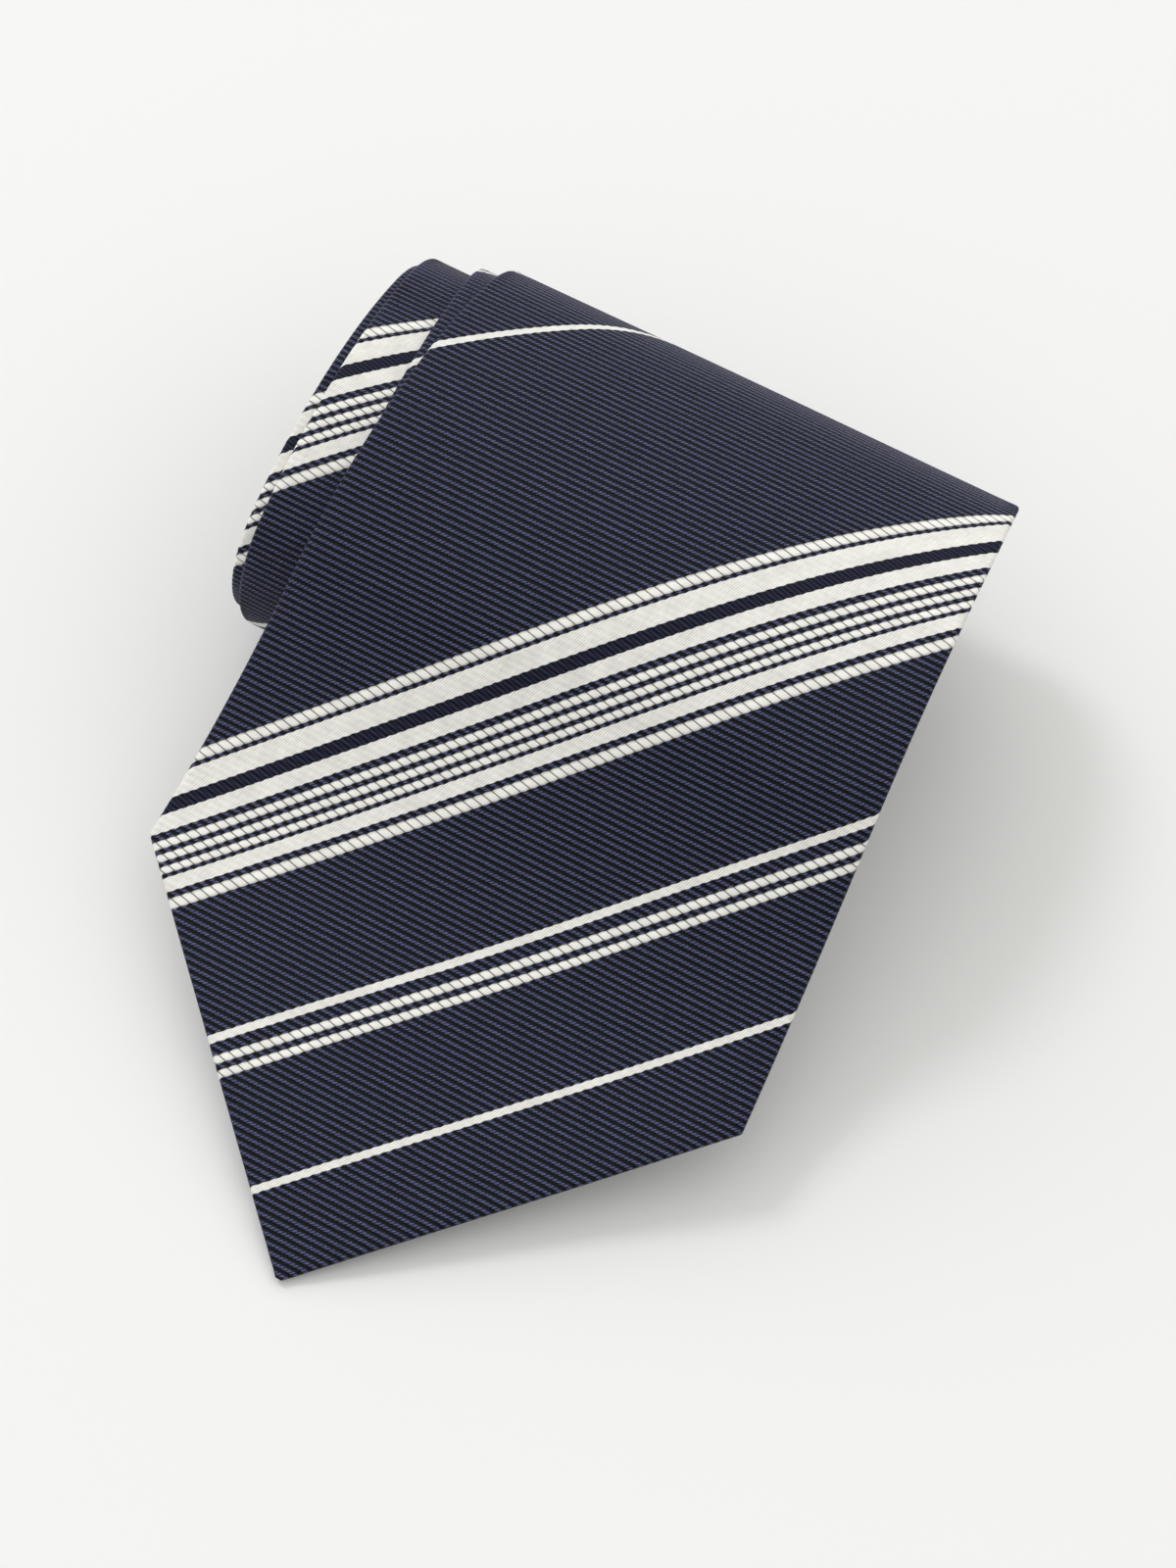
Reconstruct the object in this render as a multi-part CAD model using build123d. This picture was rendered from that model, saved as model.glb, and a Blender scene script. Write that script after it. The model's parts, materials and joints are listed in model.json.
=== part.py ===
"""A silk necktie, rolled up with its narrow tail inside.

The wide blade comes over the top of the roll and slopes down to its point.
Millimetres.  X runs across the tie, along the roll's axis.  -Y is the side where
the blade's point lies.  +Z is up.  The origin is the bottom centre of the model.

Every piece is a thin band that follows one path, the outer face of the tie.
A place on the tie is (s, w, depth): s is the distance along the path from the
blade's point, w the distance to the right of the tie's centre line, and depth
the distance below the outer face.
"""
import os
from bisect import bisect_right
from math import atan2, ceil, cos, degrees, hypot, radians, sin, sqrt

from build123d import *

# --- the tie, laid flat ------------------------------------------------------
BLADE_WIDTH = 90.0          # widest, at the shoulders of the point
NECK_WIDTH = 34.0
TAIL_WIDTH = 44.0
TIE_LENGTH = 1430.0
NECK_START = 745.0          # where the blade's taper ends
NECK_END = 960.0            # where the tail starts to widen
BLADE_TAPER = 0.105         # width lost per unit of length, just above the shoulders

# --- the roll ----------------------------------------------------------------
PITCH = 1.65                # from one turn to the next
END_RADIUS = 18.9           # small arcs of the four-centre oval
END_OFFSET = 14.5           # from the oval's centre to the centres of those arcs
TOP_DROP = 29.2             # from the oval's centre to the centres of its large arcs
OVAL_TILT = 8.0             # the back of the roll is the higher end
STEP = 15.0                 # turn of the path's normal from one station to the next
MIN_FACET = 0.1             # stations nearer to each other than this are one
FOOT_CUT = 0.02             # planes the lowest facet flat, for the roll to rest on

# --- the blade's slope -------------------------------------------------------
LEAVE_ANGLE = 48.0          # the normal's angle where the blade leaves the roll
SLOPE_AT_TIP = 14.62        # brings the point down to the surface that the roll lies on
SAG_LENGTH = 44.0           # hollow curve next to the roll
SAG_PIECES = 8
STRAIGHT_LENGTH = 44.0      # from the hollow curve to the point

# --- the fold that the blade lifts on ----------------------------------------
FOLD_ANGLE = 82.5           # the normal's angle at the fold, just before the top
FOLD_SLIT = 0.3             # between the lifting and the rolled lengths

# --- layers, as depths below the outer face ----------------------------------
CLOTH = 0.25
THICKNESS = 1.25
ALLOWANCE_LAYER = (0.28, 0.36)
INTERLINING_LAYER = (0.39, 0.77)
LINING_LAYER = (0.81, 0.96)
THREAD_LAYER = (0.82, 0.94)
ON_BACK_LAYER = (1.27, 1.35)
STITCH_LAYER = (1.53, 1.60)
KEEPER_LAYER = (1.33, 1.50)
START_WIDTH = 3.0           # the point is blunted by the thickness of its fold

# --- where things are along the tie ------------------------------------------
TIPPING_START = 3.0
TIPPING_END = 94.0
TAIL_TIPPING = 58.0
INTERLINING_START = 2.5
LINING_CLEARANCE = 0.15
INTERLINING_CLEARANCE = 0.1
SEAM_GAP = 0.6              # between the two folded edges at the centre back
HEM = 13.0                  # cloth turned in behind the point
OPENING_END = 92.0          # where the folded edges meet behind the blade
TAIL_OPENING = 55.0         # the same, measured from the tail's end
BAR_TACK = 97.0
TACK_WIDTH = 6.0
TACK_LENGTH = 1.4
TAIL_BAR_TACK = 60.0
LABEL = (154.0, 186.0)
LABEL_WIDTH = 46.0
KEEPER = (205.0, 217.0)
KEEPER_WIDTH = 58.0
CARE_TAG = (223.0, 241.0)
CARE_TAG_WIDTH = 16.0
FRONT_JOIN = 600.0
REAR_JOIN = 950.0
JOIN_SLIT = 0.1
ALLOWANCE = 8.0
ALLOWANCE_GAP = 0.3
INTERLINING_JOIN = 750.0
THREAD_WIDTH = 0.6
STITCH_LENGTH = 2.0
STITCH_WIDTH = 0.5
STITCH_PITCH = 6.0
STITCH_INSET = 1.5
KEEPER_FOOT = 0.06
KEEPER_END = 3.0
KEEPER_STITCHES = 4
HEM_STITCHES = (20.4, 84.0)
THREAD_LOOP_S = 70.0
THREAD_LOOP_LENGTH = 16.0
THREAD_LOOP_WIDTH = 6.0
THREAD_LOOP_LAYER = (1.0, 1.4)

# Left edge of each turn, measured outwards from the outermost turn's left edge.
# The turns are not wound squarely: the second and third stand out at the left.
EDGE_SHIFT = [0.0, 1.0, 10.3, 12.3, 12.3, 11.0, 10.5, 10.0]
SHIFT_START = 130.0         # the tie is square to the roll's axis up to here
SHIFT_LENGTH = 100.0
FOOT_SEARCH_START = 120.0   # past the blade's slope and the top of the roll


# --- the path ----------------------------------------------------------------
def width_at(s):
    """Width of the tie at the distance s from the blade's point."""
    shoulder = BLADE_WIDTH / 2
    tail_shoulder = TIE_LENGTH - TAIL_WIDTH / 2
    if s < shoulder:
        return max(2 * s, START_WIDTH)
    if s > tail_shoulder:
        return max(2 * (TIE_LENGTH - s), START_WIDTH)
    if s < NECK_START:
        run = NECK_START - shoulder
        curve = (NECK_WIDTH - BLADE_WIDTH + BLADE_TAPER * run) / run**2
        t = s - shoulder
        return BLADE_WIDTH - BLADE_TAPER * t + curve * t**2
    if s < NECK_END:
        return NECK_WIDTH
    t = (s - NECK_END) / (tail_shoulder - NECK_END)
    return NECK_WIDTH + (TAIL_WIDTH - NECK_WIDTH) * t


def oval_point(angle):
    """Point of the outermost oval whose normal stands at angle, and that normal.

    The angle is measured from the front, -Y, over the top.
    """
    a = radians(180.0 - angle - OVAL_TILT)
    large = atan2(END_OFFSET, TOP_DROP)
    large_radius = END_RADIUS + hypot(END_OFFSET, TOP_DROP)
    if abs(cos(a)) < sin(large):
        side = 1 if sin(a) > 0 else -1
        y, z = large_radius * cos(a), large_radius * sin(a) - side * TOP_DROP
    else:
        side = 1 if cos(a) > 0 else -1
        y, z = END_RADIUS * cos(a) + side * END_OFFSET, END_RADIUS * sin(a)
    t = radians(OVAL_TILT)
    turned = (y * cos(t) - z * sin(t), y * sin(t) + z * cos(t))
    b = radians(180.0 - angle)
    return turned, (cos(b), sin(b))


def spiral_point(angle):
    """Point and normal of the roll's spiral: the oval, less PITCH for each turn."""
    (y, z), (ny, nz) = oval_point(angle)
    inward = PITCH * (angle - LEAVE_ANGLE) / 360.0
    return (y - inward * ny, z - inward * nz), (ny, nz)


def turn_point(point, angle):
    """Turn a (y, z) pair about the X axis by angle, in degrees."""
    y, z = point
    t = radians(angle)
    return y * cos(t) - z * sin(t), y * sin(t) + z * cos(t)


def slope_points():
    """The blade from its point up to the roll: (s, point, normal) of each station."""
    top_slope = 90.0 - LEAVE_ANGLE
    (y, z), _ = spiral_point(LEAVE_ANGLE)
    stations = []
    s = SAG_LENGTH + STRAIGHT_LENGTH
    length = SAG_LENGTH / SAG_PIECES
    for _ in range(SAG_PIECES):
        middle = s - STRAIGHT_LENGTH - length / 2
        slope = radians(SLOPE_AT_TIP + (top_slope - SLOPE_AT_TIP) * middle / SAG_LENGTH)
        y, z, s = y - length * cos(slope), z - length * sin(slope), s - length
        at = radians(SLOPE_AT_TIP + (top_slope - SLOPE_AT_TIP) * (s - STRAIGHT_LENGTH) / SAG_LENGTH)
        stations.append((s, (y, z), (-sin(at), cos(at))))
    slope = radians(SLOPE_AT_TIP)
    normal = (-sin(slope), cos(slope))
    y, z = y - s * cos(slope), z - s * sin(slope)
    stations.append((0.0, (y, z), normal))
    return stations[::-1]


def roll_points():
    """The roll from where the blade leaves it to the tail's end, a station per STEP."""
    s = SAG_LENGTH + STRAIGHT_LENGTH
    point, normal = spiral_point(LEAVE_ANGLE)
    stations = [(s, point, normal, LEAVE_ANGLE)]
    angle = STEP / 2 + STEP * ceil((LEAVE_ANGLE - STEP / 2 + 0.1) / STEP)
    while s < TIE_LENGTH:
        last = point
        point, normal = spiral_point(angle)
        s += hypot(point[0] - last[0], point[1] - last[1])
        stations.append((s, point, normal, angle))
        angle += STEP
    return stations


def build_path():
    """All stations as (s, y, z, ny, nz), level on the bottom facet, and the fold's s."""
    rolled = roll_points()
    under = [p for _, p, _, a in rolled if abs(a - 270.0) < STEP]
    level = -degrees(atan2(under[1][1] - under[0][1], under[1][0] - under[0][0]))
    if abs(level) > 90.0:
        level += 180.0
    fold = min(s for s, _, _, a in rolled if a > FOLD_ANGLE - 0.1)
    flat = [(s, p, n) for s, p, n in slope_points()] + [(s, p, n) for s, p, n, _ in rolled]
    turned = [(s, *turn_point(p, level), *turn_point(n, level)) for s, p, n in flat]
    floor = min(z for s, _, z, _, _ in turned if s > FOOT_SEARCH_START)
    return [(s, y, z - floor, ny, nz) for s, y, z, ny, nz in turned], fold


PATH, FOLD_S = build_path()
PATH_S = [station[0] for station in PATH]
TURN_S = [min(s for s, _, _, a in roll_points() if a >= LEAVE_ANGLE + 360.0 * n)
          for n in range(len(EDGE_SHIFT))]


def nearest_station(s):
    """The path's station nearest to s."""
    return min(PATH_S, key=lambda station: abs(station - s))


def on_path(s):
    """Point (y, z) and normal (ny, nz) of the path at s, straight between stations."""
    i = min(max(bisect_right(PATH_S, s) - 1, 0), len(PATH) - 2)
    a, b = PATH[i], PATH[i + 1]
    t = (s - a[0]) / (b[0] - a[0])
    return [a[k] + (b[k] - a[k]) * t for k in range(1, 5)]


def centre_at(s):
    """X of the tie's centre line, which puts each turn's left edge by EDGE_SHIFT."""
    if s < SHIFT_START:
        return 0.0
    n = min(bisect_right(TURN_S, s) - 1, len(EDGE_SHIFT) - 2)
    t = min((s - TURN_S[n]) / (TURN_S[n + 1] - TURN_S[n]), 1.0)
    t = t * t * (3 - 2 * t)
    shift = EDGE_SHIFT[n] + (EDGE_SHIFT[n + 1] - EDGE_SHIFT[n]) * t
    squared = width_at(s) / 2 - width_at(SHIFT_START) / 2 - shift
    return squared * min((s - SHIFT_START) / SHIFT_LENGTH, 1.0)


def place(s, w, depth):
    """The point at s along the tie, w from its centre line, depth below its face."""
    y, z, ny, nz = on_path(s)
    return Vector(centre_at(s) + w, y - depth * ny, z - depth * nz)


# --- solids that follow the path ---------------------------------------------
def stations_between(start, end, breaks=()):
    """start, end, and the path's stations and the breaks that lie between them."""
    inner = [s for s in (*PATH_S, *breaks) if start + MIN_FACET < s < end - MIN_FACET]
    kept = []
    for s in sorted(inner):
        if not kept or s - kept[-1] > MIN_FACET:
            kept.append(s)
    return [start, *kept, end]


def follow(start, end, section, breaks=()):
    """A solid along the path, with section(s) giving its (w, depth) corners at s."""
    wires = []
    for s in stations_between(start, end, breaks):
        corners = [place(s, w, depth) for w, depth in section(s)]
        wires.append(Wire.make_polygon(corners, close=True))
    return Solid.make_loft(wires, ruled=True)


def band(start, end, left, right, layer):
    """A flat band of constant width in one layer."""
    top, bottom = layer
    corners = [(left, top), (right, top), (right, bottom), (left, bottom)]
    return follow(start, end, lambda s: corners)


HEM_RUN = HEM * sqrt(2.0)


def opening_at(s):
    """Half of the gap between the shell's two folded edges, at the centre back."""
    for end_distance, opening_end, width in (
        (s, OPENING_END, BLADE_WIDTH),
        (TIE_LENGTH - s, TAIL_OPENING, TAIL_WIDTH),
    ):
        if end_distance < opening_end:
            shoulder = width / 2
            if end_distance < shoulder:
                return max(end_distance - HEM_RUN, SEAM_GAP / 2)
            t = (opening_end - end_distance) / (opening_end - shoulder)
            return SEAM_GAP / 2 + max(shoulder - HEM_RUN - SEAM_GAP / 2, 0.0) * t
    return SEAM_GAP / 2


SHELL_BREAKS = (
    HEM_RUN + SEAM_GAP / 2,
    BLADE_WIDTH / 2,
    OPENING_END,
    TIE_LENGTH - TAIL_OPENING,
    TIE_LENGTH - TAIL_WIDTH / 2,
    TIE_LENGTH - HEM_RUN - SEAM_GAP / 2,
)


def shell_section(s):
    """The shell's cloth: across the front, round both edges, and in to the seam."""
    half = width_at(s) / 2
    gap = opening_at(s)
    back = THICKNESS - CLOTH
    return [
        (-gap, THICKNESS), (-half, THICKNESS), (-half, 0.0),
        (half, 0.0), (half, THICKNESS), (gap, THICKNESS),
        (gap, back), (half - CLOTH, back), (half - CLOTH, CLOTH),
        (CLOTH - half, CLOTH), (CLOTH - half, back), (-gap, back),
    ]


def shell(start, end):
    """A length of the shell."""
    return follow(start, end, shell_section, SHELL_BREAKS)


def filling(start, end, layer, clearance):
    """A layer inside the shell, clearance short of the shell's cloth on each side."""
    top, bottom = layer

    def section(s):
        half = width_at(s) / 2 - CLOTH - clearance
        return [(-half, top), (half, top), (half, bottom), (-half, bottom)]

    return follow(start, end, section, SHELL_BREAKS)


def stitch(s, w, layer, along=True):
    """One stitch, centred at (s, w), running along or across the tie."""
    length, width = (STITCH_LENGTH, STITCH_WIDTH) if along else (STITCH_WIDTH, STITCH_LENGTH)
    return band(s - length / 2, s + length / 2, w - width / 2, w + width / 2, layer)


# --- the pieces ---------------------------------------------------------------
def blade_tipping():
    """Lining cloth behind the blade's point."""
    return filling(TIPPING_START, TIPPING_END, LINING_LAYER, LINING_CLEARANCE)


def tail_tipping():
    """Lining cloth behind the tail's point."""
    return filling(TIE_LENGTH - TAIL_TIPPING, TIE_LENGTH - TIPPING_START,
                   LINING_LAYER, LINING_CLEARANCE)


def tipping_stitches():
    """Stitches beside the opening, on both sides."""
    start, end = HEM_STITCHES
    count = int((end - start) / STITCH_PITCH)
    spots = [start + STITCH_PITCH * (n + 0.5) for n in range(count)]
    return Compound([stitch(s, side * (opening_at(s) + STITCH_INSET), ON_BACK_LAYER)
                     for s in spots for side in (-1, 1)])


def keeper_loop():
    """Self-cloth strap across the back that holds the tail: flat, stitched at its ends."""
    half = KEEPER_WIDTH / 2
    top, bottom = KEEPER_LAYER
    foot, inside = top - KEEPER_FOOT, top + KEEPER_FOOT / 2
    inner = half - KEEPER_END
    corners = [
        (-half, foot), (-inner, foot), (-inner, inside), (inner, inside),
        (inner, foot), (half, foot), (half, bottom), (-half, bottom),
    ]
    return follow(*KEEPER, lambda s: corners)


def keeper_stitches():
    """Two rows of stitches across each end of the keeper loop."""
    start, end = KEEPER
    pitch = (end - start) / KEEPER_STITCHES
    spots = [start + pitch * (n + 0.5) for n in range(KEEPER_STITCHES)]
    at = KEEPER_WIDTH / 2 - KEEPER_END / 2
    return Compound([stitch(s, side * at, STITCH_LAYER, along=False)
                     for s in spots for side in (-1, 1)])


def label_stitches():
    """Stitches along the label's two ends."""
    start, end = LABEL
    count = int((end - start) / STITCH_PITCH)
    spots = [start + STITCH_PITCH * (n + 0.5) for n in range(count)]
    at = LABEL_WIDTH / 2 - STITCH_WIDTH * 2
    return Compound([stitch(s, side * at, STITCH_LAYER) for s in spots for side in (-1, 1)])


def bar_tack(s, layer=ON_BACK_LAYER):
    """A dense bar of thread across the seam."""
    return band(s - TACK_LENGTH / 2, s + TACK_LENGTH / 2, -TACK_WIDTH / 2, TACK_WIDTH / 2, layer)


def slip_stitch(start, end):
    """The loose running thread that closes the centre back, inside the seam."""
    return band(start, end, -THREAD_WIDTH / 2, THREAD_WIDTH / 2, THREAD_LAYER)


def join_allowances(join):
    """The two pressed-open seam allowances behind a join of the shell's panels."""
    return Compound([
        filling(join - ALLOWANCE, join - ALLOWANCE_GAP, ALLOWANCE_LAYER, LINING_CLEARANCE),
        filling(join + ALLOWANCE_GAP, join + ALLOWANCE, ALLOWANCE_LAYER, LINING_CLEARANCE),
    ])


def spare_thread_loop():
    """The loop of spare slip-stitch thread that lies behind the blade."""
    _, _, ny, nz = on_path(THREAD_LOOP_S)
    top, bottom = THREAD_LOOP_LAYER
    origin = place(THREAD_LOOP_S, 0.0, bottom)
    plane = Plane(origin=origin, x_dir=(1, 0, 0), z_dir=(0, ny, nz))
    outer = SlotOverall(THREAD_LOOP_LENGTH, THREAD_LOOP_WIDTH, rotation=90)
    inner = SlotOverall(THREAD_LOOP_LENGTH - 2 * THREAD_WIDTH, THREAD_LOOP_WIDTH - 2 * THREAD_WIDTH,
                        rotation=90)
    return plane * extrude(outer - inner, bottom - top)


def with_flat_foot(solid):
    """The solid with its lowest facet cut flat."""
    box = solid.bounding_box()
    middle = box.center()
    below = Box(2 * box.size.X, 2 * box.size.Y, box.size.Z)
    return solid - Pos(middle.X, middle.Y, box.min.Z + FOOT_CUT - box.size.Z / 2) * below


def build():
    """Every node's name and its solid."""
    blade_end = FOLD_S - FOLD_SLIT
    front_join = nearest_station(FRONT_JOIN)
    rear_join = nearest_station(REAR_JOIN)
    filling_join = nearest_station(INTERLINING_JOIN)
    return {
        "blade_shell_front": shell(START_WIDTH / 2, blade_end),
        "blade_shell_rolled": with_flat_foot(shell(FOLD_S, front_join - JOIN_SLIT)),
        "neck_shell": shell(front_join, rear_join - JOIN_SLIT),
        "tail_shell": shell(rear_join, TIE_LENGTH - START_WIDTH / 2),
        "blade_interlining_front": filling(
            INTERLINING_START, blade_end, INTERLINING_LAYER, INTERLINING_CLEARANCE),
        "blade_interlining_rolled": filling(
            FOLD_S, filling_join - JOIN_SLIT, INTERLINING_LAYER, INTERLINING_CLEARANCE),
        "tail_interlining": filling(
            filling_join, TIE_LENGTH - INTERLINING_START, INTERLINING_LAYER,
            INTERLINING_CLEARANCE),
        "blade_tipping": blade_tipping(),
        "tail_tipping": tail_tipping(),
        "blade_tipping_stitches": tipping_stitches(),
        "blade_bar_tack": bar_tack(BAR_TACK),
        "tail_bar_tack": bar_tack(TIE_LENGTH - TAIL_BAR_TACK),
        "spare_thread_loop": spare_thread_loop(),
        "slip_stitch_front": slip_stitch(TIPPING_END + 1.0, blade_end),
        "slip_stitch_rolled": slip_stitch(FOLD_S, TIE_LENGTH - TAIL_TIPPING - 1.0),
        "front_join_allowances": join_allowances(front_join),
        "rear_join_allowances": join_allowances(rear_join),
        "keeper_loop": keeper_loop(),
        "keeper_stitches": keeper_stitches(),
        "blank_label": band(*LABEL, -LABEL_WIDTH / 2, LABEL_WIDTH / 2, ON_BACK_LAYER),
        "label_stitches": label_stitches(),
        "care_tag": band(*CARE_TAG, -CARE_TAG_WIDTH / 2, CARE_TAG_WIDTH / 2, ON_BACK_LAYER),
    }


def main():
    """Centre the model over the origin and write one STEP file for each node."""
    os.makedirs("parts", exist_ok=True)
    nodes = build()
    box = Compound(list(nodes.values())).bounding_box()
    middle = box.center()
    move = Pos(-middle.X, -middle.Y, -box.min.Z)
    for name, solid in nodes.items():
        export_step(move * solid, f"parts/{name}.step")


main()
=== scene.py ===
import json
from math import atan2, cos, hypot, pi, radians, sin, sqrt

import bpy
import numpy as np
from mathutils import Matrix, Vector


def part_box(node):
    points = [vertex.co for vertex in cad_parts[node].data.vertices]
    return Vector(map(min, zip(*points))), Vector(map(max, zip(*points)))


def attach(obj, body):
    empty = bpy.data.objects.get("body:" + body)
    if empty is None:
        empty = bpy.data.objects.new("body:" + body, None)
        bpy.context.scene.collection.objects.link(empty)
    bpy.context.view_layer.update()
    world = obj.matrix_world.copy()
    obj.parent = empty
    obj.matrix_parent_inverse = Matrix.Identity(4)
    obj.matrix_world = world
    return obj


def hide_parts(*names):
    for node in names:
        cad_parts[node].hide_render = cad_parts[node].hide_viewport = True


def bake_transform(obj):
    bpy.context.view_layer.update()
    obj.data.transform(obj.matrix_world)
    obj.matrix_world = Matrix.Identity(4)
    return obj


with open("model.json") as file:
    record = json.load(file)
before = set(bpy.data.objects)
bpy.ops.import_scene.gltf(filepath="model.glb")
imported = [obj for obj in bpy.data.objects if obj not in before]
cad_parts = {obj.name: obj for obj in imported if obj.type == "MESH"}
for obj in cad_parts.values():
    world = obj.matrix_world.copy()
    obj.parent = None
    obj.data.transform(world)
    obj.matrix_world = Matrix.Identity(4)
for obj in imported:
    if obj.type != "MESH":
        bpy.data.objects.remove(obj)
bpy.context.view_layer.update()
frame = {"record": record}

MM = 0.001
SCENE = bpy.context.scene

# ---------------------------------------------------------------------------
# The rolled tie in millimetres and degrees: the same driving sizes as the CAD model.
# s runs along the tie from the blade's point, w across it, depth inwards.
# An angle says where the cloth's outward normal stands, and grows by 360 with each turn.
# ---------------------------------------------------------------------------
BLADE_WIDTH, NECK_WIDTH, TAIL_WIDTH = 90.0, 34.0, 44.0
POINT_WIDTH = 0.6                       # no row of the cloth is narrower
TIE_LENGTH = 1430.0
NECK_START, NECK_END = 745.0, 960.0
BLADE_TAPER = 0.105                     # width lost for each mm past the blade's shoulders
PITCH = 1.65                            # from one turn of the roll to the next
END_RADIUS, END_OFFSET = 18.9, 14.5     # the two end arcs of the roll's oval
TOP_DROP = 29.2                         # how far the centres of its flat arcs are from the middle
OVAL_TILT = 8.0
LEAVE_ANGLE, FOLD_ANGLE = 48.0, 82.5    # where the blade leaves the roll, and its fold line
SLOPE_AT_TIP, SAG_LENGTH, STRAIGHT_LENGTH = 14.62, 44.0, 44.0
FOOT_ANGLES = (262.5, 277.5)            # the part of the outer turn that rests on the floor
PATH_STEP = 0.5                         # in mm on the blade and in degrees on the roll
PATH_SPARE = 5.0                        # path past the tail's point
EDGE_SHIFT = [0.0, 1.0, 10.3, 12.3, 12.3, 11.0, 10.5, 10.0]     # of each turn's left edge
SHIFT_START, SHIFT_LENGTH = 130.0, 100.0
CLOTH, THICKNESS = 0.25, 1.25           # one layer of silk, and the whole tie
HEM_RUN = 13.0 * sqrt(2.0)              # a 13 mm hem at the points, measured along the tie
SEAM_GAP, OPENING_END, TAIL_OPENING = 0.6, 92.0, 55.0
RIB_PITCH = 0.98
RIB_HEIGHT = 0.06
FLAT_RIB, FOLD_BAND = 0.3, 2.5          # the ribs stand highest where they bend round the folds

# Slow unevenness of the cloth: a ripple all over, and a curl at the free blade's edges.
HELD_RIPPLE, FREE_RIPPLE, FREE_CURL = 0.10, 0.30, 0.35
FREE_LENGTH, FREE_FADE = 60.0, 50.0
CURL_START, CURL_FADE = 26.0, 18.0


def smooth(t):
    t = np.clip(t, 0.0, 1.0)
    return t * t * (3 - 2 * t)


def width_at(s):
    """Finished width of the tie at s; s is a number or an array."""
    s = np.asarray(s, float)
    shoulder, tail_shoulder = BLADE_WIDTH / 2, TIE_LENGTH - TAIL_WIDTH / 2
    run, t = NECK_START - shoulder, s - shoulder
    curve = (NECK_WIDTH - BLADE_WIDTH + BLADE_TAPER * run) / run**2
    taper = BLADE_WIDTH - BLADE_TAPER * t + curve * t**2
    tail = NECK_WIDTH + (TAIL_WIDTH - NECK_WIDTH) * (s - NECK_END) / (tail_shoulder - NECK_END)
    body = np.where(s < NECK_START, taper, np.where(s < NECK_END, NECK_WIDTH, tail))
    points = np.minimum(2 * s, 2 * (TIE_LENGTH - s))
    return np.maximum(np.minimum(points, body), POINT_WIDTH)


def oval_point(angle):
    """Point and outward normal of the outermost oval where its normal stands at angle."""
    a = radians(180.0 - angle - OVAL_TILT)
    large = atan2(END_OFFSET, TOP_DROP)
    large_radius = END_RADIUS + hypot(END_OFFSET, TOP_DROP)
    if abs(cos(a)) < sin(large):
        side = 1 if sin(a) > 0 else -1
        y, z = large_radius * cos(a), large_radius * sin(a) - side * TOP_DROP
    else:
        side = 1 if cos(a) > 0 else -1
        y, z = END_RADIUS * cos(a) + side * END_OFFSET, END_RADIUS * sin(a)
    t, b = radians(OVAL_TILT), radians(180.0 - angle)
    return np.array([y * cos(t) - z * sin(t), y * sin(t) + z * cos(t)]), np.array([cos(b), sin(b)])


def spiral_point(angle):
    """Point and outward normal of the roll's spiral, PITCH further in at each turn."""
    point, normal = oval_point(angle)
    return point - PITCH * (angle - LEAVE_ANGLE) / 360.0 * normal, normal


S, ANGLE, Y, Z, NORMAL_Y, NORMAL_Z = range(6)       # the path's columns


def build_path():
    """Rows of the path that the cloth's face follows, from the point to the core."""
    top_slope = 90.0 - LEAVE_ANGLE
    rows = []
    (y, z), _ = spiral_point(LEAVE_ANGLE)
    s = SAG_LENGTH + STRAIGHT_LENGTH
    while s > -PATH_STEP / 2:
        t = max((s - STRAIGHT_LENGTH) / SAG_LENGTH, 0.0)
        slope = radians(SLOPE_AT_TIP + (top_slope - SLOPE_AT_TIP) * t)
        rows.append((s, 90.0 - np.degrees(slope), y, z, -sin(slope), cos(slope)))
        y, z, s = y - PATH_STEP * cos(slope), z - PATH_STEP * sin(slope), s - PATH_STEP
    rows = rows[::-1]
    s, angle = rows[-1][0], LEAVE_ANGLE
    last, _ = spiral_point(angle)
    while s < TIE_LENGTH + PATH_SPARE:
        angle += PATH_STEP
        point, normal = spiral_point(angle)
        s += hypot(*(point - last))
        rows.append((s, angle, *point, *normal))
        last = point
    return np.array(rows)


def level_path(path):
    """Turn the path so that its foot is level."""
    a, b = (spiral_point(angle)[0] for angle in FOOT_ANGLES)
    level = -atan2(a[1] - b[1], a[0] - b[0])
    turn = np.array([[cos(level), -sin(level)], [sin(level), cos(level)]])
    for pair in ([Y, Z], [NORMAL_Y, NORMAL_Z]):
        path[:, pair] = path[:, pair] @ turn.T
    return path


PATH = level_path(build_path())


def along_path(s, column):
    """What a column of the path holds at s."""
    return np.interp(s, PATH[:, S], PATH[:, column])


def s_at(angle):
    """s where the path's normal stands at angle, past where the blade leaves the roll."""
    rolled = PATH[:, S] >= SAG_LENGTH + STRAIGHT_LENGTH
    return float(np.interp(angle, PATH[rolled, ANGLE], PATH[rolled, S]))


# The path's fold goes onto the CAD's hinge.
FOLD_S = s_at(FOLD_ANGLE)
HINGE = frame["record"]["behaviour"]["joints"][0]["pos_m"]
for column, position in ((Y, HINGE[1]), (Z, HINGE[2])):
    PATH[:, column] += position / MM - along_path(FOLD_S, column)
LOW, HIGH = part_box("blade_shell_front")
CENTRE_X = (LOW[0] + HIGH[0]) / 2 / MM
TURN_S = [s_at(LEAVE_ANGLE + 360.0 * n) for n in range(len(EDGE_SHIFT))]


def centre_at(s):
    """X of the tie's centre line."""
    s = np.asarray(s, float)
    shift = np.zeros_like(s)
    for n in range(len(EDGE_SHIFT) - 1):
        t = smooth((s - TURN_S[n]) / (TURN_S[n + 1] - TURN_S[n]))
        shift += (EDGE_SHIFT[n + 1] - EDGE_SHIFT[n]) * t
    squared = width_at(s) / 2 - width_at(SHIFT_START) / 2 - shift
    return CENTRE_X + squared * np.clip((s - SHIFT_START) / SHIFT_LENGTH, 0.0, 1.0)


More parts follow.
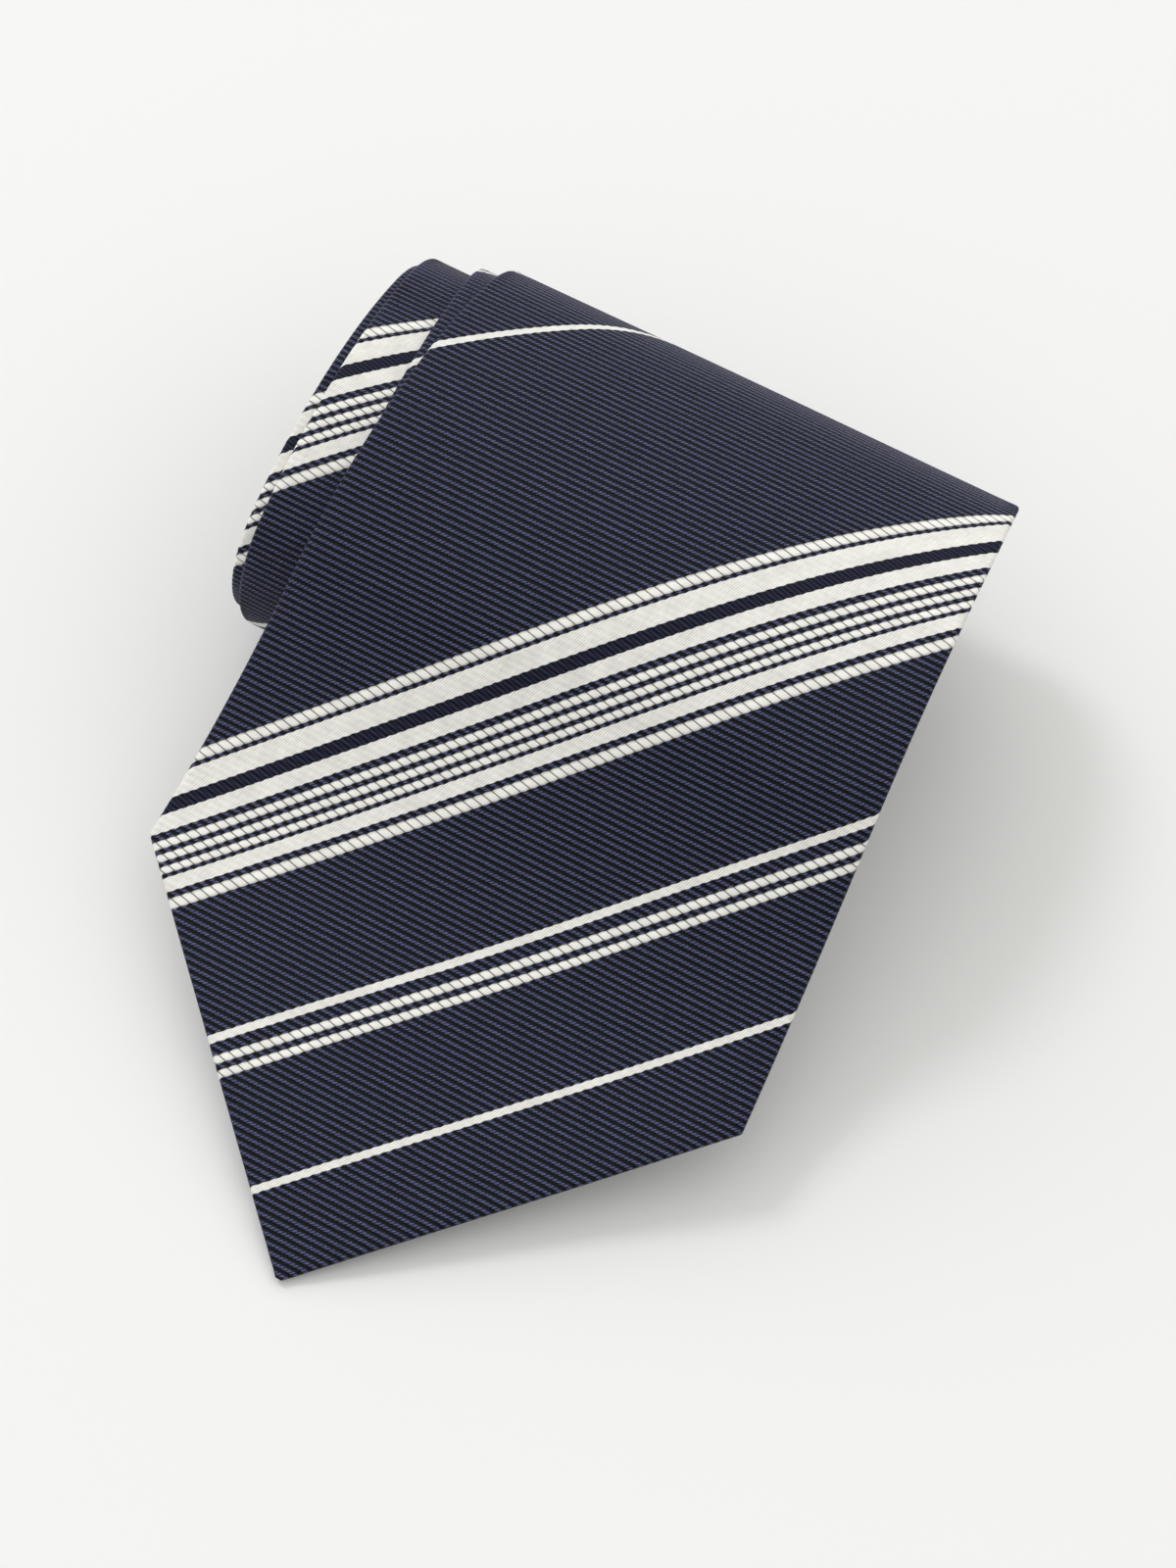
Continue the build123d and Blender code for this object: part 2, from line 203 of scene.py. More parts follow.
def unevenness(s, w):
    """How far the cloth stands out from the path, less where turns lie on each other."""
    free = 1.0 - smooth((s - FREE_LENGTH) / FREE_FADE)
    # The rates of the slow waves are in radians for each millimetre of s and of w.
    ripple = np.sin(0.071 * s + 0.035 * w + 0.6) * np.cos(0.052 * w - 0.02 * s)
    edge = smooth((np.abs(w) - CURL_START) / CURL_FADE)
    curl = np.sin(0.045 * s + np.where(w > 0, 0.4, 2.2)) * edge
    return (HELD_RIPPLE + FREE_RIPPLE * free) * ripple + FREE_CURL * free * curl


def place(s, w, depth):
    """Points in metres for arrays of s, w and depth."""
    s, w, depth = np.broadcast_arrays(*(np.asarray(v, float) for v in (s, w, depth)))
    y, z, ny, nz = (along_path(s, column) for column in (Y, Z, NORMAL_Y, NORMAL_Z))
    size = np.hypot(ny, nz)
    depth = depth - unevenness(s, w)
    y, z = y - depth * ny / size, z - depth * nz / size
    z = np.maximum(z, 0.0)
    return np.stack([centre_at(s) + w, y, z], axis=-1) * MM


def opening_at(s):
    """Half of the gap between the shell's folded edges at the back."""
    s = np.asarray(s, float)
    result = np.full_like(s, SEAM_GAP / 2)
    for distance, end, shoulder in (
        (s, OPENING_END, BLADE_WIDTH / 2),
        (TIE_LENGTH - s, TAIL_OPENING, TAIL_WIDTH / 2),
    ):
        point = distance - HEM_RUN
        t = (end - distance) / (end - shoulder)
        above = SEAM_GAP / 2 + max(shoulder - HEM_RUN, 0.0) * t
        gap = np.where(distance < shoulder, point, above)
        result = np.where(distance < end, np.maximum(gap, SEAM_GAP / 2), result)
    return result


# ---------------------------------------------------------------------------
# Mesh helpers
# ---------------------------------------------------------------------------
def new_object(name, points, faces, uv=None):
    """A smooth-shaded object. uv is one (w, s) pair in millimetres for each vertex."""
    mesh = bpy.data.meshes.new(name)
    mesh.from_pydata([tuple(p) for p in points], [], faces)
    mesh.update()
    if uv is not None:
        layer = mesh.uv_layers.new(name="cloth")
        loops = np.empty(len(mesh.loops), np.int32)
        mesh.loops.foreach_get("vertex_index", loops)
        layer.data.foreach_set("uv", np.asarray(uv, np.float32)[loops].ravel())
    mesh.polygons.foreach_set("use_smooth", [True] * len(mesh.polygons))
    piece = bpy.data.objects.new(name, mesh)
    SCENE.collection.objects.link(piece)
    return piece


def grid_faces(rows, columns, closed=False):
    """Quads between neighbouring rows; closed joins each row's last column to its first."""
    faces = []
    for r in range(rows - 1):
        here, there = r * columns, (r + 1) * columns
        for c in range(columns if closed else columns - 1):
            d = (c + 1) % columns
            faces.append((here + c, here + d, there + d, there + c))
    return faces


def shifted(faces, base):
    """The faces of a part whose first vertex is number base of the whole."""
    return [tuple(i + base for i in face) for face in faces]


def finish_piece(piece, body, slot, material, *nodes):
    """Material, body and the CAD nodes that the piece stands for, which are hidden. slot is not
    used.
    """
    piece.data.materials.append(material)
    if body is not None:
        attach(piece, body)
    if nodes:
        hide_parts(*nodes)
    return piece


def thicken(piece, thickness):
    """Give a sheet its thickness, inwards from its face, in the mesh itself."""
    solid = piece.modifiers.new("thickness", "SOLIDIFY")
    solid.thickness = thickness * MM
    solid.offset = -1.0
    evaluated = piece.evaluated_get(bpy.context.evaluated_depsgraph_get())
    mesh = bpy.data.meshes.new_from_object(evaluated)
    piece.modifiers.clear()
    piece.data = mesh


def tube(points, radius, sides=8):
    """Vertices and faces of a capped tube along points, in metres."""
    points = np.asarray(points, float)
    tangents = np.gradient(points, axis=0)
    tangents /= np.linalg.norm(tangents, axis=1)[:, None]
    upright = abs(tangents[0, 2]) >= 0.8
    guide = np.array([1.0, 0.0, 0.0]) if upright else np.array([0.0, 0.0, 1.0])
    vertices = []
    for point, tangent in zip(points, tangents):
        across = np.cross(tangent, guide)
        across /= np.linalg.norm(across)
        guide = np.cross(across, tangent)
        for k in range(sides):
            a = 2 * pi * k / sides
            vertices.append(point + radius * (cos(a) * across + sin(a) * guide))
    faces = grid_faces(len(points), sides, closed=True)
    faces.append(tuple(range(sides))[::-1])
    faces.append(tuple(range(len(vertices) - sides, len(vertices))))
    return vertices, faces


# ---------------------------------------------------------------------------
# Materials.  Every cloth reads the "cloth" UV map: (w, s) in millimetres on the flat cut.
# ---------------------------------------------------------------------------
SHEEN_ROUGHNESS = 0.35


class Nodes:
    """A short way to write shader maths."""

    def __init__(self, name):
        self.material = bpy.data.materials.new(name)
        self.material.use_nodes = True
        self.tree = self.material.node_tree
        self.tree.nodes.clear()
        self.shader = self.tree.nodes.new("ShaderNodeBsdfPrincipled")
        output = self.tree.nodes.new("ShaderNodeOutputMaterial")
        self.link(self.shader.outputs[0], output.inputs["Surface"])

    def link(self, source, target):
        self.tree.links.new(source, target)

    def put(self, value, target):
        if isinstance(value, bpy.types.NodeSocket):
            self.link(value, target)
        else:
            target.default_value = value

    def put_color(self, value, target):
        self.put(value if isinstance(value, bpy.types.NodeSocket) else (*value, 1.0), target)

    def math(self, operation, *values):
        node = self.tree.nodes.new("ShaderNodeMath")
        node.operation = operation
        for value, target in zip(values, node.inputs):
            self.put(value, target)
        return node.outputs[0]

    def add(self, a, b):
        return self.math("ADD", a, b)

    def sub(self, a, b):
        return self.math("SUBTRACT", a, b)

    def mul(self, a, b):
        return self.math("MULTIPLY", a, b)

    def fold(self, operation, values):
        """All the values put together, two at a time, with one operation."""
        result = values[0]
        for value in values[1:]:
            result = self.math(operation, result, value)
        return result

    def weighted(self, *pairs):
        """The sum of (value, weight) pairs."""
        return self.fold("ADD", [self.mul(value, weight) for value, weight in pairs])

    def jitter(self, value, amount):
        """A 0 to 1 noise, moved so that it adds up to half of amount either way."""
        return self.mul(self.sub(value, 0.5), amount)

    def ramp(self, value, low, high):
        """Smoothly 0 at low to 1 at high."""
        node = self.tree.nodes.new("ShaderNodeMapRange")
        node.interpolation_type = "SMOOTHSTEP"
        self.put(value, node.inputs["Value"])
        self.put(low, node.inputs["From Min"])
        self.put(high, node.inputs["From Max"])
        return node.outputs["Result"]

    def bar(self, value, start, end, soft=0.05):
        """1 between start and end, with soft edges."""
        rise = self.ramp(value, start - soft, start + soft)
        fall = self.ramp(value, end - soft, end + soft)
        return self.sub(rise, fall)

    def hump(self, value, start, end):
        """A round ridge from start to end: 0 at both, 1 in the middle."""
        t = self.math("DIVIDE", self.sub(value, (start + end) / 2), (end - start) / 2)
        return self.math("MAXIMUM", self.sub(1.0, self.mul(t, t)), 0.0)

    def wave(self, value, period):
        """A cosine from 0 to 1 with this period."""
        turned = self.mul(value, 2 * pi / period)
        return self.add(self.mul(self.math("COSINE", turned), 0.5), 0.5)

    def noise(self, vector, scale=1.0, detail=3.0, roughness=0.5):
        node = self.tree.nodes.new("ShaderNodeTexNoise")
        self.put(vector, node.inputs["Vector"])
        node.inputs["Scale"].default_value = scale
        node.inputs["Detail"].default_value = detail
        node.inputs["Roughness"].default_value = roughness
        return node.outputs["Fac"]

    def vector(self, x, y):
        node = self.tree.nodes.new("ShaderNodeCombineXYZ")
        for value, target in zip((x, y), node.inputs):
            self.put(value, target)
        return node.outputs[0]

    def mix(self, factor, a, b):
        node = self.tree.nodes.new("ShaderNodeMix")
        node.data_type = "RGBA"
        self.put(factor, node.inputs[0])
        self.put_color(a, node.inputs[6])
        self.put_color(b, node.inputs[7])
        return node.outputs[2]

    def cloth_uv(self):
        """The w and s of the cloth's flat cut, in millimetres."""
        node = self.tree.nodes.new("ShaderNodeUVMap")
        node.uv_map = "cloth"
        split = self.tree.nodes.new("ShaderNodeSeparateXYZ")
        self.link(node.outputs[0], split.inputs[0])
        return split.outputs[0], split.outputs[1]

    def object_position(self):
        """The point on the surface, in millimetres."""
        node = self.tree.nodes.new("ShaderNodeTexCoord")
        scale = self.tree.nodes.new("ShaderNodeVectorMath")
        scale.operation = "SCALE"
        scale.inputs["Scale"].default_value = 1 / MM
        self.link(node.outputs["Object"], scale.inputs[0])
        return scale.outputs[0]

    def bump(self, height, distance, strength):
        node = self.tree.nodes.new("ShaderNodeBump")
        node.inputs["Strength"].default_value = strength
        node.inputs["Distance"].default_value = distance * MM
        self.link(height, node.inputs["Height"])
        self.link(node.outputs[0], self.shader.inputs["Normal"])

    def finish(self, color, roughness, specular, sheen=0.0, sheen_tint=(1, 1, 1)):
        self.put_color(color, self.shader.inputs["Base Color"])
        self.put(roughness, self.shader.inputs["Roughness"])
        self.shader.inputs["Specular IOR Level"].default_value = specular
        self.shader.inputs["Sheen Weight"].default_value = sheen
        self.shader.inputs["Sheen Roughness"].default_value = SHEEN_ROUGHNESS
        self.shader.inputs["Sheen Tint"].default_value = (*sheen_tint, 1.0)
        return self.material


# Stripes, by distance from the cloth's stripe origin, square to the stripes, in mm.
STRIPE_PERIOD = 103.4
THIN_SATINS = [(11.95, 12.97), (33.0, 34.15)]
WIDE_SATINS = [(54.85, 56.85), (63.1, 65.4), (67.35, 70.35)]
ROPES = [(28.1, 29.2), (30.1, 31.25), (52.4, 53.9), (57.45, 58.45), (59.15, 60.2), (60.95, 62.05),
         (71.0, 72.5)]
TWILL_BAND = (65.4, 67.35)
ROPE_LEAN = 0.264           # how far each rope's dividing lines lean from the ribs
ROPE_SOFTNESS = 0.07
EDGE_STEP = 0.045           # how far a stripe's edge steps in and out at each rib
FLOAT_PITCH = 0.31          # of the fine lines in the satin
FLECK_PITCH = 0.56          # of the slanting flecks on the ribs
TWILL_PITCH = RIB_PITCH * 0.62

# Navy colours: the ridge colour is the lit silk; the valley colour is painted shade in the ribs'
# valleys and the twill's grooves, and also the tone of the slow dull patches. The thread colour is
# partly lighter thread and partly a painted glint on the ridges.
NAVY_RIDGE, NAVY_THREAD_GLINT = (0.015, 0.018, 0.055), (0.14, 0.155, 0.29)
NAVY_SHADE_AND_DULL = (0.0006, 0.0008, 0.0025)
# The silver shade is painted shade on the satin's fine lines and on the edges of the ropes'
# segments.
SILVER, SILVER_SHADE = (0.95, 0.94, 0.89), (0.63, 0.62, 0.575)
FLECK_SHARE = 0.72          # how far the flecks turn to the thread's colour, partly a painted glint
DIVIDER_SHARE = 0.9         # how far the lines between a rope's segments turn to painted shade
DULL_SHARE = 0.12           # how far the slow patches dull the cloth

# Heights in the bump, as shares of BUMP_HEIGHT.
BUMP_HEIGHT, BUMP_STRENGTH = 0.16, 0.9
SATIN_HEIGHT, SATIN_LINE_HEIGHT = 0.62, 0.10


def ropes(n, s, u, u_edge):
    """The ropes' lit segments, the segments' height, and the ropes' whole width."""
    stripes, lit, heights = [], [], []
    for start, end in ROPES:
        stripe = n.bar(u_edge, start, end, ROPE_SOFTNESS)
        leaned = n.sub(s, n.mul(n.sub(u, (start + end) / 2), ROPE_LEAN))
        phase = n.math("FRACT", n.math("DIVIDE", leaned, RIB_PITCH))
        segment = n.hump(phase, -0.02, 1.02)        # so it isn't quite flat at its ends
        stripes.append(stripe)
        lit.append(n.mul(stripe, n.ramp(segment, 0.05, 0.42)))
        heights.append(n.mul(n.hump(u, start - 0.1, end + 0.1), n.math("SQRT", segment)))
    return n.fold("ADD", lit), n.fold("MAXIMUM", heights), n.fold("ADD", stripes)


def navy_ribs(n, w, s, rib, threads):
    """Round ridges painted lit with valleys painted in shade, and slanting flecks of lighter
    thread on the ridges, partly a painted glint.
    """
    ridge = n.ramp(n.add(rib, n.jitter(threads, 1.3)), 0.38, 0.88)
    strand_way = n.vector(n.mul(n.add(w, n.mul(s, -0.9)), 5.0), n.mul(s, 2.4))
    strands = n.noise(strand_way, detail=2.0, roughness=0.6)
    slant = n.wave(n.add(n.sub(w, n.mul(s, 1.1)), n.mul(threads, 0.5)), FLECK_PITCH)
    flecks = n.mul(ridge, n.ramp(n.weighted((slant, 0.45), (strands, 0.8)), 0.45, 0.80))
    # Painted shade in the valleys between the ribs, with the ridges lit.
    color = n.mix(ridge, NAVY_SHADE_AND_DULL, NAVY_RIDGE)
    return n.mix(n.mul(flecks, FLECK_SHARE), color, NAVY_THREAD_GLINT)


def navy_twill(n, w, s, threads):
    """The finer, steeper twill between the two broad satins: strokes painted lit, with painted
    shade between them.
    """
    strokes = n.wave(n.add(s, n.mul(w, 0.27)), TWILL_PITCH)
    lit = n.ramp(n.add(strokes, n.jitter(threads, 0.6)), 0.3, 0.8)
    return n.mix(lit, NAVY_SHADE_AND_DULL, NAVY_RIDGE)


def silk_material():
    """Navy ribbed silk with satin and rope stripes at 45 degrees."""
    n = Nodes("navy striped silk")
    w, s = n.cloth_uv()
    u = n.mul(n.sub(s, w), sqrt(0.5))
    u = n.math("FLOORED_MODULO", u, STRIPE_PERIOD)
    slow = n.noise(n.vector(w, s), scale=0.35, detail=2.0)
    step = n.mul(n.math("SINE", n.mul(s, 2 * pi / RIB_PITCH)), EDGE_STEP)
    u_edge = n.add(u, step)

    rib = n.wave(s, RIB_PITCH)
    thread_way = n.vector(n.mul(w, 3.2), n.mul(n.add(s, n.mul(w, 0.35)), 6.0))
    threads = n.noise(thread_way, roughness=0.65)
    navy = n.mix(n.bar(u_edge, *TWILL_BAND), navy_ribs(n, w, s, rib, threads),
                 navy_twill(n, w, s, threads))

    # Satin: white floats with fine lines that lean from the stripe, the lines painted in shade and
    # the floats unevenly toned.
    satin = n.fold("ADD", [n.bar(u_edge, *ends) for ends in THIN_SATINS + WIDE_SATINS])
    lines = n.wave(n.weighted((w, -0.914), (s, 0.407)), FLOAT_PITCH)
    uneven = n.noise(n.vector(n.weighted((w, -3.6), (s, 1.6)), n.mul(n.add(s, w), 0.5)))
    floats = n.weighted((lines, 0.6), (uneven, 0.75))
    white = n.mix(n.ramp(floats, 0.15, 0.85), SILVER_SHADE, SILVER)

    rope, rope_height, rope_width = ropes(n, s, u, u_edge)
    # Each rope segment is painted light on its crown and in shade towards its edges, with some
    # random unevenness.
    crowns = n.add(rope_height, n.jitter(uneven, 0.5))
    rope_white_shaded = n.mix(n.ramp(crowns, 0.2, 0.8), SILVER_SHADE, SILVER)

    color = n.mix(satin, navy, white)
    # The rope stripes are first darkened to painted shade, which stays as the lines between the
    # lit segments.
    color = n.mix(n.mul(rope_width, DIVIDER_SHARE), color, NAVY_SHADE_AND_DULL)
    color = n.mix(rope, color, rope_white_shaded)
    color = n.mix(n.mul(n.ramp(slow, 0.3, 0.8), DULL_SHARE), color, NAVY_SHADE_AND_DULL)

    # The ribs stand full on the plain navy, and hardly at all under the white stripes.
    plain = n.sub(1.0, n.math("MINIMUM", n.add(satin, rope_width), 1.0))
    rib_height = n.mul(n.weighted((rib, 0.8), (threads, 0.35)), n.add(n.mul(plain, 0.85), 0.15))
    satin_height = n.mul(satin, n.add(SATIN_HEIGHT, n.mul(lines, SATIN_LINE_HEIGHT)))
    n.bump(n.add(n.add(rib_height, satin_height), rope_height), BUMP_HEIGHT, BUMP_STRENGTH)
    glossy = n.math("MINIMUM", n.add(satin, rope), 1.0)
    roughness = n.add(0.50, n.mul(glossy, -0.08))
    return n.finish(color, roughness, specular=0.16, sheen=0.02, sheen_tint=(0.75, 0.78, 1.0))


def wool_material(name, dark, light, pitch=1.1, fuzz=0.6):
    """Brushed plain cloth: crossed threads of this pitch, in mm, under a fuzzy grain."""
    n = Nodes(name)
    w, s = n.cloth_uv()
    across, along = n.wave(n.add(w, s), pitch), n.wave(n.sub(w, s), pitch)
    grain = n.noise(n.vector(n.mul(w, 2.2), n.mul(s, 2.2)), detail=4.0, roughness=0.7)
    weave = n.weighted((n.math("MAXIMUM", across, along), 1.0 - fuzz), (grain, fuzz))
    color = n.mix(n.ramp(weave, 0.25, 0.9), dark, light)
    n.bump(weave, distance=0.15, strength=0.8)
    return n.finish(color, roughness=0.9, specular=0.25, sheen=0.3)


def satin_material(name, dark, light, pitch):
    """A smooth lining or ribbon: fine slanted lines with a soft gloss."""
    n = Nodes(name)
    w, s = n.cloth_uv()
    lines = n.wave(n.weighted((w, 0.87), (s, 0.5)), pitch)
    fine = n.wave(s, pitch * 0.45)
    grain = n.noise(n.vector(n.mul(w, 1.3), n.mul(s, 0.4)), roughness=0.6)
    shade = n.weighted((lines, 0.5), (fine, 0.2), (grain, 0.4))
    color = n.mix(n.ramp(shade, 0.2, 0.9), dark, light)
    n.bump(shade, distance=0.05, strength=0.6)
    return n.finish(color, roughness=0.38, specular=0.5, sheen=0.05)


def thread_material(name, dark, light, twist_pitch=0.35):
    """Twisted sewing thread."""
    n = Nodes(name)
    position = n.object_position()
    split = n.tree.nodes.new("ShaderNodeSeparateXYZ")
    n.link(position, split.inputs[0])
    diagonal = n.add(split.outputs[0], n.add(split.outputs[1], split.outputs[2]))
    grain = n.noise(position, scale=6.0, roughness=0.6)
    shade = n.weighted((n.wave(diagonal, twist_pitch), 0.65), (grain, 0.45))
    color = n.mix(n.ramp(shade, 0.2, 0.9), dark, light)
    n.bump(shade, distance=0.06, strength=0.8)
    return n.finish(color, roughness=0.5, specular=0.4, sheen=0.1)


SILK = silk_material()
INTERLINING = wool_material("cream wool interlining", (0.45, 0.41, 0.33), (0.78, 0.74, 0.64))
LINING = satin_material("navy satin lining", (0.010, 0.012, 0.032), (0.035, 0.042, 0.095), 0.42)
LABEL = satin_material("blank navy label", (0.014, 0.017, 0.045), (0.06, 0.068, 0.13), 0.5)
TAG = satin_material("blank white tape", (0.60, 0.59, 0.55), (0.86, 0.85, 0.81), 0.45)
THREAD = thread_material("navy thread", (0.008, 0.010, 0.028), (0.05, 0.058, 0.13))

# ---------------------------------------------------------------------------
# The shell: one sheet of silk folded round both edges
# ---------------------------------------------------------------------------
FRONT_COLUMNS, EDGE_COLUMNS, BACK_COLUMNS = 44, 7, 8
ROWS_PER_RIB = 4
END_CLEARANCE = 0.2         # no row is closer than this share of the spacing to an end row
NARROW_FOLD = 0.45          # a fold's radius at the points, as a share of half the width
PLAIN_SPACING = 1.5         # between rows where the ribs aren't in the mesh

# Where the shell's pieces end. The two joins are seams of the tie itself.
BACK_SEAM_S = s_at(217.5)
TURN_JOIN_S = s_at(LEAVE_ANGLE + 360.0 + 230.0)
FRONT_JOIN_S, REAR_JOIN_S = 600.0, 950.0
TIP_S, TAIL_S = 0.45, TIE_LENGTH - 0.6
JOIN_GAP = 0.1

# The stripes are brought to the place that the photograph shows: the second turn's thin
# stripe by a shift that grows under the roll, and the inner turns' by one along the tie.
TURN_SHIFT, TURN_SHIFT_ANGLE, TURN_SHIFT_LENGTH = -15.3, 240.0, 40.0
INNER_SHIFT, INNER_STRETCH, INNER_START_S = -270.0, 0.056, 450.0


def shell_profile(s):
    """Arrays (w, depth, cut) across the shell at s: back edge, fold, front, fold, back edge."""
    half = float(width_at(s)) / 2
    radius = min(THICKNESS / 2, half * NARROW_FOLD)
    flat = half - radius
    gap = min(float(opening_at(s)), flat)
    front = np.linspace(-flat, flat, FRONT_COLUMNS)
    turn = np.linspace(0, pi, EDGE_COLUMNS + 2)[1:]
    back = np.linspace(flat, gap, BACK_COLUMNS + 1)[1:]
    right_w = np.concatenate([flat + radius * np.sin(turn), back])
    right_depth = np.concatenate([radius * (1 - np.cos(turn)), np.full(len(back), 2 * radius)])
    right_cut = np.concatenate([flat + radius * turn, flat + radius * pi + (flat - back)])
    w = np.concatenate([-right_w[::-1], front, right_w])
    depth = np.concatenate([right_depth[::-1], np.zeros(FRONT_COLUMNS), right_depth])
    cut = np.concatenate([-right_cut[::-1], front, right_cut])
    return w, depth, cut


def shell_rows(start, end, spacing):
    """s of each row: both ends, and the multiples of spacing between them."""
    first = int(np.ceil(start / spacing + END_CLEARANCE))
    last = int(np.floor(end / spacing - END_CLEARANCE))
    return np.concatenate([[start], np.arange(first, last + 1) * spacing, [end]])


def shell_piece(name, start, end, phase=lambda s: 0.0, ribbed=True):
    """A length of the shell. Where it is ribbed, its ribs are in the mesh."""
    rows = shell_rows(start, end, RIB_PITCH / ROWS_PER_RIB if ribbed else PLAIN_SPACING)
    points, uv = [], []
    for s in rows:
        w, depth, cut = shell_profile(s)
        rib = RIB_HEIGHT * cos(2 * pi * s / RIB_PITCH) if ribbed else 0.0
        at_fold = smooth((np.abs(w) - np.abs(w).max() + FOLD_BAND) / FOLD_BAND)
        rib = rib * (FLAT_RIB + (1 - FLAT_RIB) * at_fold)
        lifted = depth - rib * np.where(depth > THICKNESS / 2, -1.0, 1.0)
        points.append(place(np.full(len(w), s), w, lifted))
        uv.append(np.stack([cut, np.full(len(w), s + phase(s))], axis=1))
    points, uv = np.concatenate(points), np.concatenate(uv)
    piece = new_object(name, points, grid_faces(len(rows), len(w)), uv)
    thicken(piece, CLOTH)
    return piece


def turn_phase(s):
    """The stripes' shift on the second turn."""
    return float(TURN_SHIFT * smooth((s - s_at(TURN_SHIFT_ANGLE)) / TURN_SHIFT_LENGTH))


def inner_phase(s):
    """The stripes' shift on the inner turns."""
    return (INNER_SHIFT + INNER_STRETCH * (s - INNER_START_S)) * sqrt(2.0)


blade = shell_piece("blade_cloth", TIP_S, BACK_SEAM_S)
finish_piece(blade, None, "silk", SILK, "blade_shell_front")
rolled = shell_piece("blade_cloth_rolled", BACK_SEAM_S, TURN_JOIN_S, turn_phase)
finish_piece(rolled, "roll", "silk", SILK, "blade_shell_rolled")
inner = shell_piece("blade_cloth_inner", TURN_JOIN_S, FRONT_JOIN_S, inner_phase)
finish_piece(inner, "roll", "silk", SILK)
neck = shell_piece("neck_cloth", FRONT_JOIN_S + JOIN_GAP, REAR_JOIN_S, inner_phase, ribbed=False)
finish_piece(neck, "roll", "silk", SILK, "neck_shell")
tail = shell_piece("tail_cloth", REAR_JOIN_S + JOIN_GAP, TAIL_S, inner_phase, ribbed=False)
finish_piece(tail, "roll", "silk", SILK, "tail_shell")

# ---------------------------------------------------------------------------
# Layers inside the shell, each between two depths and inset from the shell's edges
# ---------------------------------------------------------------------------
LAYER_COLUMNS = 17
MIN_HALF_WIDTH = 0.4
LAYER_SPACING, FINE_SPACING = 3.0, 1.5
INTERLINING_LAYER, LINING_LAYER, ALLOWANCE_LAYER = (0.36, 0.74), (0.79, 0.93), (0.28, 0.35)
INTERLINING_INSET, LINING_INSET = 0.6, 0.5
LAYER_TIP_S, LAYER_TAIL_S = 3.0, TIE_LENGTH - 3.0
INTERLINING_JOIN_S = 750.0
TIPPING_END_S, TAIL_TIPPING_S = 94.0, TIE_LENGTH - 58.0
ALLOWANCE, ALLOWANCE_GAP = 8.0, 0.3     # each edge behind a join, and its start from the join


def layer_mesh(start, end, layer, inset, spacing):
    """Points, faces and uv of a closed band between start and end."""
    top, bottom = layer
    rows = np.linspace(start, end, max(int((end - start) / spacing), 2))
    points, uv = [], []
    for s in rows:
        half = max(float(width_at(s)) / 2 - inset, MIN_HALF_WIDTH)
        across = np.linspace(-half, half, LAYER_COLUMNS)
        w = np.concatenate([across, across[::-1]])
        depth = np.concatenate([np.full(LAYER_COLUMNS, top), np.full(LAYER_COLUMNS, bottom)])
        points.append(place(np.full(len(w), s), w, depth))
        uv.append(np.stack([w, np.full(len(w), s)], axis=1))
    points, uv = np.concatenate(points), np.concatenate(uv)
    columns = 2 * LAYER_COLUMNS
    faces = grid_faces(len(rows), columns, closed=True)
    for base, flip in ((0, -1), (len(points) - columns, 1)):
        for c in range(LAYER_COLUMNS - 1):
            quad = (base + c, base + c + 1, base + columns - 2 - c, base + columns - 1 - c)
            faces.append(quad[::flip])
    return points, faces, uv


def layer_piece(name, start, end, layer, inset, spacing=LAYER_SPACING):
    return new_object(name, *layer_mesh(start, end, layer, inset, spacing))


def allowance_piece(name, join, node):
    """The two pressed-open edges behind a join."""
    points, faces, uv = [], [], []
    for side in (-1, 1):
        start, end = sorted((join + side * ALLOWANCE_GAP, join + side * ALLOWANCE))
        edge_points, edge_faces, _ = layer_mesh(start, end, ALLOWANCE_LAYER, INTERLINING_INSET,
                                                FINE_SPACING)
        faces += shifted(edge_faces, len(points))
        points += list(edge_points)
        uv += [(x / MM, join + side * ALLOWANCE / 2) for x, _, _ in edge_points]
    return finish_piece(new_object(name, points, faces, uv), "roll", "silk", SILK, node)


filler = layer_piece("interlining_front", LAYER_TIP_S, BACK_SEAM_S, INTERLINING_LAYER,
                     INTERLINING_INSET)
finish_piece(filler, None, "interlining", INTERLINING, "blade_interlining_front")
filler_rolled = layer_piece("interlining_rolled", BACK_SEAM_S, INTERLINING_JOIN_S,
                            INTERLINING_LAYER, INTERLINING_INSET)
finish_piece(filler_rolled, "roll", "interlining", INTERLINING, "blade_interlining_rolled")
filler_tail = layer_piece("interlining_tail", INTERLINING_JOIN_S + JOIN_GAP, LAYER_TAIL_S,
                          INTERLINING_LAYER, INTERLINING_INSET)
finish_piece(filler_tail, "roll", "interlining", INTERLINING, "tail_interlining")
tipping = layer_piece("tipping_blade", LAYER_TIP_S, TIPPING_END_S, LINING_LAYER, LINING_INSET,
                      FINE_SPACING)
finish_piece(tipping, "blade", "lining", LINING, "blade_tipping")
tipping_tail = layer_piece("tipping_tail", TAIL_TIPPING_S, LAYER_TAIL_S, LINING_LAYER,
                           LINING_INSET, FINE_SPACING)
finish_piece(tipping_tail, "roll", "lining", LINING, "tail_tipping")
front_edges = allowance_piece("front_join_edges", FRONT_JOIN_S, "front_join_allowances")
rear_edges = allowance_piece("rear_join_edges", REAR_JOIN_S, "rear_join_allowances")

# ---------------------------------------------------------------------------
# Pieces on the back: keeper loop, label, tag. Each size is across and along the tie.
# ---------------------------------------------------------------------------
KEEPER_S, KEEPER_SIZE, KEEPER_DEPTH, KEEPER_CLOTH = 205.0, (58.0, 12.0), 1.33, 0.15
LABEL_S, LABEL_SIZE = 154.0, (46.0, 32.0)
TAG_S, TAG_SIZE = 223.0, (16.0, 18.0)
TAPE_DEPTH, TAPE_CLOTH = 1.27, 0.08
PATCH_ROWS, PATCH_COLUMNS, TAG_COLUMNS = 17, 49, 17
PATCH_CROWN = 0.03          # how far the middle of a strap or label stands up
PINCH, PINCHED_END = 0.05, 3.0


